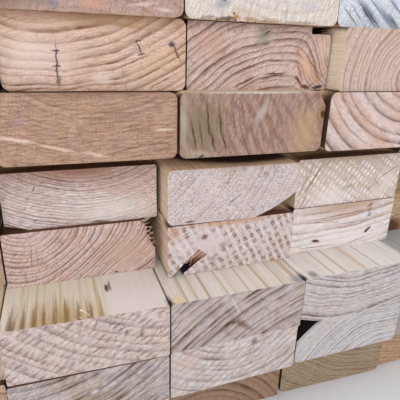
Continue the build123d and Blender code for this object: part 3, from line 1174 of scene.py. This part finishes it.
# %% Looks of layer 3
looks |= {
    "stud_3_2": plain._replace(
        pith=(104, 132), spacing=5.6, early="D2C2BC", late="84685A", lines=0.65, patchy=0.6,
        grain=0.26, tint="CDB4AA", streaks=(38, 0.2), rays=0.6,
        saws=(saw(36, 3.7, "8A6A5C", 0.6, 0.4, (-38, 9, 0.8)),),
        face_early="EEE6DE", face_late="DECFB4", face_lines=0.3, top_dirt=0.0, side_dirt=0.5,
        face_marks=(
            top_stripe(10, 1.0, "BDA65E", 0.7), top_stripe(13, 0.8, "BDA65E", 0.6),
            top_stripe(18, 1.2, "B59A52", 0.8), top_stripe(22, 1.0, "BDA65E", 0.6),
            top_stripe(31, 1.3, "BFA868", 0.7), top_stripe(42, 1.1, "BFA868", 0.6),
            top_stripe(51, 1.4, "BDA65E", 0.8),
            Mark((26, 35, 0), (38, 9, 300), 0, "E4DABE", 0.5, 0.6),
            Mark((30, 35, 0), (34, 9, 34), 0, "B28A4A", 0.7, 0.9),
            Mark((6, 35, 0), (3.5, 9, 34), 0, "74491A", 0.85, 0.8),
            Mark((11.5, 35, 0), (2.4, 9, 28), 0, "6E4416", 0.8, 0.8),
            Mark((17, 35, 0), (2.2, 9, 36), 0, "80561F", 0.75, 0.8),
            Mark((22, 35, 0), (1.8, 9, 24), 0, "80561F", 0.7, 0.8),
            Mark((27.5, 35, 0), (2.0, 9, 36), 0, "8A642C", 0.75, 0.8),
            Mark((33.5, 35, 0), (2.6, 9, 26), 0, "8A642C", 0.75, 0.8),
            Mark((40, 35, 0), (2.0, 9, 32), 0, "80591F", 0.7, 0.8),
            Mark((46, 35, 0), (2.6, 9, 24), 0, "80591F", 0.8, 0.8),
            Mark((52.5, 35, 0), (2.0, 9, 30), 0, "A5813F", 0.7, 0.8),
            Mark((78, 35, 0), (26, 9, 5000), 0, "E8DEDC", 0.75, 0.4),
            Mark((57.5, 35, 29), (1.8, 9, 6), 0, "4E342C", 0.95, 0.6),
            Mark((59.5, 35, 31), (1.2, 9, 8), 0, "6E5448", 0.8, 0.7),
        ),
    ),
    "stud_3_3": plain._replace(
        pith=(150, -150), spacing=5.2, early="BCAEA7", late="58382C", lines=1.0,
        patchy=0.45, wobble=0.8, tint="CFC4C0", tint_share=0.5, streaks=(42, 0.22),
        end_marks=(
            end_mark(46, 11.5, 14, 3.2, -38, "6A4632", 0.75, 0.9),
            end_mark(40, 14, 2.6, 2.2, 0, "5A3624", 0.8, 0.8),
            end_mark(41.5, 25.5, 10, 0.9, -64, "D0CBC6", 0.7, 0.7),
            end_mark(25, 8, 16, 2.5, 40, "8E7C72", 0.5, 0.9),
        ),
        face_early="E6DED6", face_late="CDB290", face_lines=0.35, top_dirt=0.0,
        face_marks=(
            top_stripe(10, 1.4, "B49A6A", 0.7, 1.0), top_stripe(16.5, 1.2, "B89C70", 0.6, 1.0),
            top_stripe(24, 1.6, "B09468", 0.75, 1.0), top_stripe(36, 1.4, "B49C78", 0.6, 1.0),
            top_stripe(50, 1.5, "B49C78", 0.6, 1.0), top_stripe(62.5, 1.7, "AC8E60", 0.7, 1.0),
            top_stripe(74, 1.4, "B49C78", 0.6, 1.0), top_stripe(85, 3.4, "BC9460", 0.7, 1.0),
            Mark((5, 35, 2), (6, 9, 8), 0, "E2CFA0", 0.8, 0.8),
            Mark((86, 35, 2), (8, 9, 10), 0, "8590A0", 0.7, 0.9),
        ),
    ),
    "stud_3_4": plain._replace(
        pith=(45, 135), spacing=4.0, wobble=3.0, early="CBC2BF", late="6F5F58", lines=0.95,
        patchy=0.5, tint="D2CCC8", streaks=(-12, 0.2),
        face_early="EAE5E0", face_late="D2C6AC", face_lines=0.35, top_dirt=0.0,
        face_marks=(
            top_stripe(22, 1.4, "A89A78", 0.7, 1.0), top_stripe(32, 1.6, "A89A78", 0.7, 1.0),
            top_stripe(48, 4.0, "C4A27A", 0.6, 1.0), top_stripe(60, 1.4, "A89A78", 0.6, 1.0),
            Mark((8, 35, 4), (5, 9, 7), 0, "80806A", 0.8, 0.8),
        ),
    ),
}
print(len(looks), "looks so far")

# %% Looks of layers 2 and 1
looks |= {
    "stud_2_2": plain._replace(
        pith=(10, 105), spacing=4.6, early="B9A99F", late="5E4838", lines=1.0, patchy=0.5,
        tint="C6C0C6", tint_share=0.6, streaks=(30, 0.26),
        end_marks=(
            end_mark(40, 14, 22, 6, 12, "8A7A68", 0.6, 0.9),
            # The two small pale lilac marks are painted highlights, glints on the end.
            end_mark(45, 20, 4, 1.6, 20, "D6D2D8", 0.8, 0.8),
            end_mark(56, 23, 4, 1.4, 20, "D0CCD4", 0.7, 0.8),
        ),
    ),
    "stud_2_3": plain._replace(
        pith=(45, 75), spacing=4.5, early="D0C5C0", late="7E6C64", lines=0.9, patchy=0.6,
        tint="DAD2CE", tint_share=0.5, streaks=(35, 0.2),
        saws=(saw(40, 4.6, "A08E86", 0.4, 0.5),),
        end_marks=(
            end_mark(10, 27, 16, 9, 0, "CDAEA6", 0.6, 0.9),
            end_mark(57, 30, 3.6, 3, 40, "6E4E3C", 0.8, 0.8),
        ),
    ),
    "stud_2_4": plain._replace(
        pith=(80, -45), spacing=3, early="D0CAC9", late="7C716C", lines=0.85,
        tint="CCC9CA", tint_share=0.5, grain=0.44, streaks=(28, 0.15),
        # Near-black painted shade in the hollow over the wane at the upper left.
        face_marks=(Mark((0, 36, 0), (32, 28, 120), 0, "0C0506", 0.99, 0.3),),
    ),
    "stud_1_3": plain._replace(
        pith=(26, -35), spacing=5.2, early="9C8069", late="553A27", lines=0.95, tint="967A62",
        top_dirt=0.6,
    ),
    "stud_1_4": plain._replace(
        pith=(85, 110), spacing=3.8, early="A08C72", late="725A40", lines=0.8, tint="98897A",
        wobble=2.4, streaks=(8, 0.16),
        top_dirt=0.6,
    ),
}
print(len(looks), "looks so far")

# %% Looks at the right, where only slivers show
looks |= {
    "stud_5_5": plain._replace(pith=(-20, 60), early="A0856C", late="7A5A44"),
    "stud_4_5": plain._replace(
        pith=(20, 160), early="BFA888", late="8C7050", streaks=(2, 0.2),
        end_marks=(
            end_mark(6, 3, 26, 12, 0, "542C16", 0.95, 0.5),
            end_mark(6, 33, 26, 5, 0, "C69C70", 0.8, 0.8),
        ),
    ),
    "stud_3_5": plain._replace(
        pith=(30, 95), early="B8AEA8", late="84756C", top_dirt=0.0,
        face_marks=(
            Mark((10, 36, 0), (60, 9, 160), 0, "A9AFB5", 0.85, 0.5),
            top_stripe(3, 1.0, "6C7076", 0.7, 0.8, 120),
            top_stripe(8, 0.8, "7E8288", 0.7, 0.8, 120),
        ),
    ),
    "stud_2_5": plain._replace(pith=(60, -40), early="A8A09C", late="7E726C"),
    "stud_1_5": plain._replace(
        pith=(40, 150), early="B8987A", late="8A6844", streaks=(2, 0.2), top_dirt=0.6
    ),
}
print(len(looks), "looks")

# %% Dress all forty studs
others = [
    plain._replace(pith=(30, 95), spacing=3.4, early="CDAF9A", late="8A6450"),
    plain._replace(
        pith=(70, -40), spacing=4.1, early="C3A792", late="7E5C46", lines=0.9,
        face_early="DEC29A", face_late="B98A54",
    ),
    plain._replace(
        pith=(-35, 60), spacing=2.9, early="D2BDAF", late="96786A", face_early="EBDABE",
    ),
    plain._replace(
        pith=(48, 10), spacing=3.2, early="C9AC99", late="84624F", lines=0.85,
        face_early="E2C6A2", face_late="C08C5C", face_lines=0.75,
    ),
    plain._replace(
        pith=(120, 70), spacing=4.8, early="D0BAAA", late="8A6A56", lines=0.9,
        face_early="E8D3B4", face_late="C79D68",
    ),
    plain._replace(
        pith=(20, -75), spacing=5.5, early="D2B7A2", late="80593F", lines=0.95,
        face_early="D9BC96", face_late="B07E4C",
    ),
    plain._replace(
        pith=(60, 120), spacing=2.6, early="CCB6A6", late="927464", face_early="E6CFA6",
    ),
]
first_seed, seed_step = 3, 1.37  # so that no two studs have the same clouds
studs = sorted(name for name in nodes if name.startswith("stud_"))
for count, stud in enumerate(studs):
    look = looks.get(stud, others[(count * 3) % len(others)])
    pine(stud, look, first_seed + count * seed_step)
print(len(studs), "studs dressed,", len(looks), "of them by the photograph")

# %% [markdown]
# ## Laths
# The laths are offcuts of rough-sawn pine. Their saw left fine ridges across them, and they are
# greyer than the studs, because laths are used again and again. The rings hardly show, so stretched
# noise gives the fibres, and a wave texture across them gives the ridges.


# %% Rough-sawn lath
def rough_lath():
    """Rough-sawn pine: matt, hairy and a little grey, with ridges every 2 mm across the fibres."""
    material, tree = new_material("rough_sawn_pine")
    uvw = in_millimetres(tree)
    along = add_node(tree, "ShaderNodeMapping", {"Vector": uvw, "Scale": (0.03, 1, 1)})
    fibres = add_node(
        tree, "ShaderNodeTexNoise", {"Vector": along, "Scale": 0.5, "Detail": 4.0, "Roughness": 0.7}
    )
    ridges = pattern_of_waves(tree, uvw, 83, 2.0, 0.6)
    clouds = add_node(tree, "ShaderNodeTexNoise", {"Vector": uvw, "Scale": 0.03})
    wood = tinted(tree, linear("8F7558"), "C9B18C", fibres)
    wood = tinted(tree, wood, "8C8274", clouds)
    height = add_node(
        tree, "ShaderNodeMath", {0: ridges, 1: 0.5, 2: fibres}, operation="MULTIPLY_ADD"
    )
    relief = add_node(
        tree, "ShaderNodeBump", {"Height": height, "Strength": 0.7, "Distance": 0.6 * mm}
    )
    surface = add_node(
        tree,
        "ShaderNodeBsdfPrincipled",
        {"Base Color": wood, "Roughness": 0.85, "Specular IOR Level": 0.3, "Normal": relief},
    )
    add_node(tree, "ShaderNodeOutputMaterial", {"Surface": surface})
    return material


laths = [name for name in nodes if name.startswith("lath_")]
dress(laths, rough_lath())
print(len(laths), "laths dressed")

# %% [markdown]
# ## Straps
# The straps are polyester band: black, a little glossy, and pressed with a fine waffle pattern that
# keeps it from slipping. Two crossed waves make the waffle.


# %% Embossed polyester band
def polyester_band():
    """Embossed polyester: black with a dull shine, and a waffle of 1.6 mm diamonds."""
    material, tree = new_material("embossed_polyester_band")
    uvw = in_millimetres(tree)
    # On the vertical runs x hardly changes, so height takes its place in the pattern.
    parts = add_node(tree, "ShaderNodeSeparateXYZ", {"Vector": uvw})
    run = add_node(
        tree,
        "ShaderNodeMath",
        {0: parts.outputs["X"], 1: parts.outputs["Z"]},
        operation="ADD",
    )
    flat = add_node(tree, "ShaderNodeCombineXYZ", {"X": run, "Y": parts.outputs["Y"]})
    one = pattern_of_waves(tree, flat, 45, 1.6, 1.0, 0.0)
    other = pattern_of_waves(tree, flat, -45, 1.6, 1.0, 0.0)
    waffle = add_node(tree, "ShaderNodeMath", {0: one, 1: other}, operation="MULTIPLY")
    scuffs = add_node(
        tree, "ShaderNodeTexNoise", {"Vector": uvw, "Scale": 0.12, "Detail": 4.0, "Roughness": 0.7}
    )
    black = tinted(tree, linear("1E1F22"), "34363A", scuffs)
    ridges = add_node(
        tree, "ShaderNodeMapRange", {"Value": waffle, "From Min": 0.5, "To Max": 0.4}
    )
    black = tinted(tree, black, "4A4C50", ridges)
    shine = add_node(
        tree, "ShaderNodeMapRange", {"Value": scuffs, "To Min": 0.38, "To Max": 0.6}
    )
    relief = add_node(
        tree, "ShaderNodeBump", {"Height": waffle, "Strength": 0.6, "Distance": 0.3 * mm}
    )
    surface = add_node(
        tree,
        "ShaderNodeBsdfPrincipled",
        {"Base Color": black, "Roughness": shine, "IOR": 1.57, "Normal": relief},
    )
    add_node(tree, "ShaderNodeOutputMaterial", {"Surface": surface})
    return material


straps = [name for name in nodes if name.startswith("strap_")]
dress(straps, polyester_band())
print(len(straps), "straps dressed")

# %% [markdown]
# ## Seals
# The seals are zinc-coated steel, with soft grey spangles and fine rolling lines, so their
# roughness varies more than their colour. Voronoi cells give the spangles, and stretched noise
# gives the lines.


# %% Zinc-coated seal
def zinc_coated_steel():
    """Zinc-coated sheet: pale grey metal with soft spangles 4 mm wide and fine rolling lines."""
    material, tree = new_material("zinc_coated_steel")
    uvw = in_millimetres(tree)
    spangles = add_node(tree, "ShaderNodeTexVoronoi", {"Vector": uvw, "Scale": 0.25})
    along = add_node(tree, "ShaderNodeMapping", {"Vector": uvw, "Scale": (0.05, 1, 1)})
    rolled = add_node(tree, "ShaderNodeTexNoise", {"Vector": along, "Scale": 2.0})
    zinc = tinted(tree, linear("A3A7AB"), "C6C9CC", spangles.outputs["Color"])
    shine = add_node(
        tree, "ShaderNodeMapRange", {"Value": rolled, "To Min": 0.28, "To Max": 0.5}
    )
    relief = add_node(
        tree, "ShaderNodeBump", {"Height": rolled, "Strength": 0.3, "Distance": 0.1 * mm}
    )
    surface = add_node(
        tree,
        "ShaderNodeBsdfPrincipled",
        {"Base Color": zinc, "Metallic": 1.0, "Roughness": shine, "Normal": relief},
    )
    add_node(tree, "ShaderNodeOutputMaterial", {"Surface": surface})
    return material


seals = [name for name in nodes if name.startswith("seal_")]
dress(seals, zinc_coated_steel())
print(len(seals), "seals dressed")

# %% [markdown]
# ## Torn fibres
# Where the saw or a knock has torn the wood, stiff fibres stand out from the end. One sliver is
# drawn as a five-sided section that is extruded in seven steps, each a little narrower and further
# to one side. It is then copied at other lengths, turns and places, and the copies on one stud are
# joined, so that they ride as one piece.


# %% Finishes of torn wood
def torn_pine(name, dark, pale):
    """Torn fibres: no polish at all, so rougher than a sawn end, and flecked along their length."""
    material, tree = new_material(name)
    place = add_node(tree, "ShaderNodeTexCoord")
    flecks = add_node(
        tree,
        "ShaderNodeTexNoise",
        {"Vector": place.outputs["Object"], "Scale": 600, "Detail": 3.0, "Roughness": 0.6},
    )
    colour = tinted(tree, linear(dark), pale, flecks)
    wood = add_node(
        tree,
        "ShaderNodeBsdfPrincipled",
        {"Base Color": colour, "Roughness": 0.92, "Specular IOR Level": 0.2},
    )
    add_node(tree, "ShaderNodeOutputMaterial", {"Surface": wood})
    return material


fresh_sapwood = torn_pine("torn_pine_sapwood", "B48658", "F6E6CE")
stained_wood = torn_pine("torn_stained_pine", "A06A58", "E6C4B4")
curled_wood = torn_pine("torn_pine_shaving", "EBD3A4", "FFF6DE")
bark = torn_pine("pine_bark", "4A2C18", "B4813F")
print(fresh_sapwood.name, stained_wood.name, curled_wood.name, bark.name)

# %% One sliver
sliver_radius = 0.45 * mm
sliver_steps = 7  # each 1 mm long
drift, sway, narrowing = 0.09, 0.03, 0.82  # sideways by step, to and fro, and in width
bpy.ops.object.select_all(action="DESELECT")
bpy.ops.mesh.primitive_circle_add(vertices=5, radius=sliver_radius, fill_type="NGON")
sliver = bpy.context.object
bpy.ops.object.mode_set(mode="EDIT")
bpy.ops.mesh.select_all(action="SELECT")
middle = Vector((0, 0, 0))
for step in range(sliver_steps):
    move = Vector((drift * step, sway * step * (-1) ** step, 1.0)) * mm
    bpy.ops.mesh.extrude_region_move(TRANSFORM_OT_translate={"value": move})
    middle += move
    bpy.ops.transform.resize(value=(narrowing, narrowing, 1), center_override=middle)
bpy.ops.mesh.select_all(action="SELECT")
bpy.ops.mesh.normals_make_consistent(inside=False)
bpy.ops.object.mode_set(mode="OBJECT")
print("a sliver of", len(sliver.data.polygons), "faces,", sliver_steps, "mm long")


# %% Copies joined to one piece
def place_bits(name, stud, finish, model, bits):
    """Copies of a model as one piece. Each has its place u, v, w in millimetres from the stud's
    near lower left corner, its turn and its scale."""
    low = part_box(stud)[0]
    bpy.ops.object.select_all(action="DESELECT")
    for (u, v, w), turn, scale in bits:
        one = model.copy()
        one.data = model.data.copy()
        bpy.context.scene.collection.objects.link(one)
        one.location = low + Vector((u, w, v)) * mm
        one.rotation_euler = turn
        one.scale = scale
        one.select_set(True)
        bpy.context.view_layer.objects.active = one
    bpy.ops.object.transform_apply(location=True, rotation=True, scale=True)
    bpy.ops.object.join()
    piece = bpy.context.object
    piece.name = name
    piece.data.name = name
    piece.data.materials.append(finish)
    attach(piece, "root")
    print(name, "has", len(bits), "copies")


def place_slivers(name, stud, finish, slivers):
    """Slivers, each with its place, the direction that it points in (x to the right, y into the
    stack, z up), its size and its turn about its length in degrees."""
    bits = []
    for at, aim, size, turn in slivers:
        lean = Vector(aim).to_track_quat("Z", "Y").to_matrix()
        spin = Matrix.Rotation(radians(turn), 3, "Z")
        bits.append((at, (lean @ spin).to_euler(), (size, size, size)))
    place_bits(name, stud, finish, sliver, bits)


# %% Torn side of stud_4_2
place_slivers(
    "fibres_on_stud_4_2",
    "stud_4_2",
    fresh_sapwood,
    [
        ((79, 33, 3), (0.8, -0.5, 0.5), 1.3, 0),
        ((81, 32, 4), (0.9, -0.3, 0.35), 1.4, 60),
        ((82, 31.5, 1), (0.75, -0.4, 0.6), 0.9, 200),
        ((83, 30.5, 2), (1.0, -0.3, -0.3), 0.8, 120),
        ((83.5, 29.5, 0.5), (0.8, -0.4, 0.6), 0.7, 300),
        ((84.5, 28, 1.5), (0.8, -0.4, -0.6), 0.8, 20),
        ((84.5, 27, 0.5), (0.9, -0.3, 0.5), 0.75, 90),
        ((84.5, 25.5, 1), (0.8, -0.3, -0.6), 0.7, 240),
        ((85, 24, 0.5), (0.8, -0.4, 0.6), 0.75, 10),
        ((85.5, 23, 1.5), (0.9, -0.3, -0.3), 0.7, 150),
        ((86, 21.5, 0.5), (0.7, -0.5, 0.7), 0.7, 220),
        ((86.5, 20, 1), (0.8, -0.4, -0.6), 0.7, 70),
        ((87, 18.5, 0.5), (0.8, -0.4, 0.6), 0.65, 330),
        ((87.5, 17, 1), (0.7, -0.4, -0.7), 0.6, 100),
        ((88, 15, 0.5), (0.8, -0.5, 0.5), 0.55, 190),
        ((88.5, 13, 0.5), (0.7, -0.5, -0.6), 0.5, 260),
        ((89, 10, 0.5), (0.7, -0.6, 0.4), 0.45, 40),
        ((89, 6, 0.5), (0.5, -0.7, -0.5), 0.45, 310),
        ((88.5, 3, 0.5), (0.6, -0.6, -0.6), 0.5, 50),
        ((75, 34.5, 0.5), (0.4, -0.8, 0.3), 0.4, 50),
        ((70, 35.2, 0.5), (-0.3, -0.8, 0.2), 0.35, 130),
    ],
)

# %% Split of stud_4_3 and a curl on stud_3_2
place_slivers(
    "splinters_on_stud_4_3",
    "stud_4_3",
    stained_wood,
    [
        ((21.2, 17.0, 1.2), (-0.72, 0.05, -0.68), 1.2, 0),
        ((22.4, 16.2, 0.6), (-0.70, 0.02, -0.70), 1.5, 60),
        ((23.6, 15.2, 1.4), (-0.72, 0.05, -0.66), 1.3, 120),
        ((24.8, 14.4, 0.5), (-0.76, 0.02, -0.62), 1.4, 200),
        ((26.0, 13.4, 1.2), (-0.80, 0.05, -0.58), 1.1, 250),
        ((22.0, 16.6, 3.0), (-0.70, 0.0, -0.69), 1.8, 300),
        ((23.2, 15.6, 3.4), (-0.73, 0.0, -0.66), 1.9, 30),
        ((24.4, 14.8, 2.8), (-0.75, 0.0, -0.64), 1.8, 90),
        ((25.6, 13.8, 3.2), (-0.78, 0.0, -0.60), 1.6, 170),
        ((24.2, 14.2, 0.3), (-0.1, -0.25, -0.9), 0.5, 10),
        ((25.4, 13.0, 0.2), (0.4, -0.3, 0.8), 0.45, 80),
        ((15.0, 9.0, 5.0), (0.72, -0.4, 0.62), 0.9, 0),
        ((13.0, 6.8, 7.0), (0.70, -0.3, 0.70), 0.9, 190),
    ],
)
place_slivers(
    "curl_on_stud_3_2",
    "stud_3_2",
    curled_wood,
    [
        ((41, 36.1, 9.5), (0.74, -0.67, 0.02), 1.35, 210),
        ((42, 36.0, 9.5), (0.5, -0.8, 0.1), 0.8, 150),
        ((40.5, 35.8, 3.5), (0.5, -0.8, 0.2), 0.75, 200),
        ((46, 35.8, 5.5), (-0.5, -0.8, 0.2), 0.5, 90),
        ((38, 35.7, 2.0), (0.3, -0.9, 0.15), 0.4, 10),
    ],
)
bpy.data.objects.remove(sliver)

# %% [markdown]
# ## Sawdust and bark
# A few crumbs of sawdust lie on one stud, and bits of bark hang under the edge of another. Each
# crumb starts as a small icosphere. Every other point is pulled in, which makes it angular, and
# the copies differ in size and turn.

# %% Crumbs
pulled_in, pushed_out, flattened = 0.6, 1.1, 0.5
bpy.ops.object.select_all(action="DESELECT")
bpy.ops.mesh.primitive_ico_sphere_add(subdivisions=1, radius=0.5 * mm)
crumb = bpy.context.object
for number, point in enumerate(crumb.data.vertices):
    point.co *= pulled_in if number % 2 else pushed_out
    point.co.z *= flattened
print("a crumb of", len(crumb.data.polygons), "faces, 1 mm across")


def place_crumbs(name, stud, finish, crumbs):
    """Crumbs, each with its place and its size, and turned by its number."""
    bits = [
        (at, (0.3 * number, 0.5 * number, 1.1 * number), (size, size * 0.8, size))
        for number, (at, size) in enumerate(crumbs)
    ]
    place_bits(name, stud, finish, crumb, bits)


# %% Sawdust on stud_3_3 and bark under stud_8_3
place_crumbs(
    "sawdust_on_stud_3_3",
    "stud_3_3",
    curled_wood,
    [
        ((2.0, 35.8, 1.5), 1.4),
        ((3.5, 35.8, 3.0), 1.9),
        ((5.0, 35.8, 1.8), 1.5),
        ((6.2, 35.8, 4.2), 2.1),
        ((4.2, 35.8, 5.5), 1.6),
        ((7.8, 35.8, 2.6), 1.2),
        ((2.8, 35.8, 7.0), 1.3),
        ((5.6, 35.8, 8.0), 1.8),
        ((8.4, 35.8, 6.4), 1.4),
        ((3.8, 35.8, 10.0), 1.1),
        ((6.8, 35.8, 10.5), 1.3),
        ((9.6, 35.8, 4.0), 0.9),
        ((4.6, 36.6, 3.8), 1.3),
        ((10.6, 35.7, 8.0), 0.8),
        ((1.6, 35.7, 4.6), 0.9),
    ],
)
place_crumbs(
    "bark_on_stud_8_3",
    "stud_8_3",
    bark,
    [
        ((9.5, 0.4, 0.4), 1.3),
        ((13.0, 0.3, 0.4), 2.0),
        ((17.0, 0.1, 0.2), 2.4),
        ((20.0, 0.2, 0.6), 1.7),
        ((23.5, 0.1, 0.3), 2.6),
        ((27.0, 0.5, 0.2), 2.8),
        ((30.5, 0.2, 0.5), 2.2),
        ((34.5, 0.3, 0.3), 1.7),
        ((39.0, 0.3, 0.4), 2.0),
        ((44.0, 0.4, 0.3), 1.4),
        ((52.0, 0.3, 0.3), 1.6),
    ],
)
bpy.data.objects.remove(crumb)
